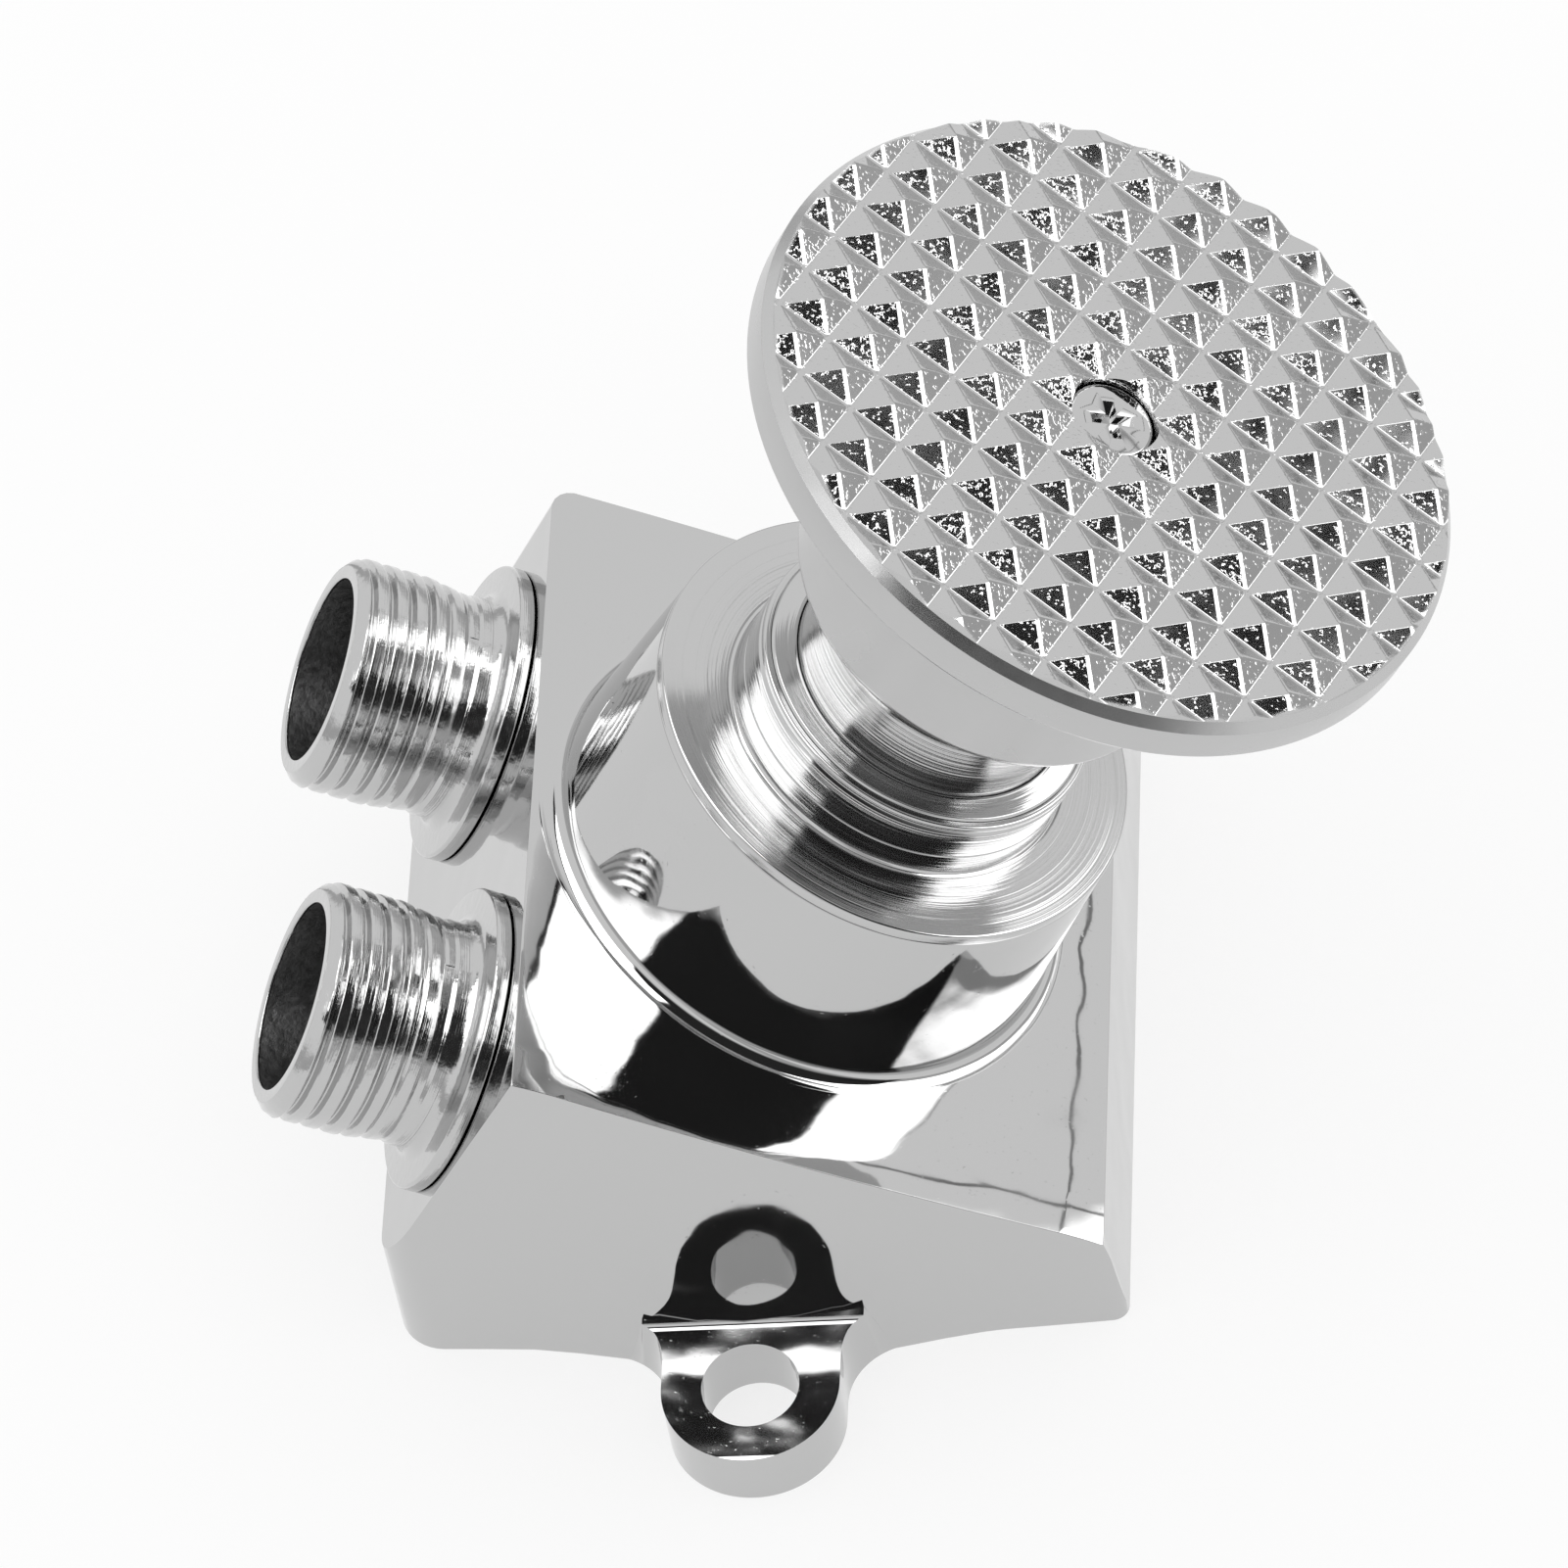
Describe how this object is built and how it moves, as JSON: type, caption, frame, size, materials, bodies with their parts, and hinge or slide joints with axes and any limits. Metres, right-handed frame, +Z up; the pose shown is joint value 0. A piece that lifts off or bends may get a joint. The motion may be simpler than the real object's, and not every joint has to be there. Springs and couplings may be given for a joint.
{
  "type": "foot pedal tap valve",
  "caption": "Floor-standing chrome foot pedal tap valve: wedge body with threaded ports and bolt-down ears, and a round treaded pedal pressed along a leaning axis.",
  "frame": {"origin": "middle of the base on the floor, midway between the fixing holes", "axes": "+Z up from the floor, -X the side of the ports, Y through the fixing holes; the pedal axis leans 30 degrees from +Z towards +X"},
  "size_m": [0.1064, 0.0984, 0.0979],
  "materials": {
    "polished_chrome": "mirror polished plating",
    "turned_chrome": "plated over fine turning marks",
    "cast_chrome": "satin plating on a cast surface",
    "steel": "bright",
    "brass": "turned",
    "rubber": "matt black",
    "fibre": "red fibre sheet",
    "acetal": "smooth white"
  },
  "bodies": {
    "base": {"valve_body": "polished_chrome", "inlet_nipple": "polished_chrome", "outlet_nipple": "polished_chrome", "inlet_gasket": "rubber", "outlet_gasket": "rubber", "inlet_strainer": "steel", "bonnet": "turned_chrome", "bonnet_gasket": "fibre", "guide_bush": "acetal", "wiper_seal": "rubber", "gland_ring": "turned_chrome", "stem_seal": "rubber", "return_spring": "steel", "spring_seat": "steel", "valve_seat": "brass"},
    "slider": {"thrust_washer": "steel"},
    "plunger": {"pedal_plate": "cast_chrome", "pedal_screw": "steel", "screw_washer": "steel", "stem": "brass", "stem_clip": "steel", "poppet": "brass", "poppet_seal": "rubber", "poppet_nut": "brass"}
  },
  "joints": [
    {"name": "pedal_press", "type": "slide", "parent": "base", "child": "slider", "axis": [-0.5, 0, -0.866], "range_m": [0, 0.006], "stiffness_N_per_m": 3000, "springref_m": -0.008, "deforming": ["return_spring"]},
    {"name": "pedal_spin", "type": "hinge", "parent": "slider", "child": "plunger", "pos_m": [0.00575, 0, 0.02608], "axis": [0.5, 0, 0.866], "continuous": true}
  ]
}
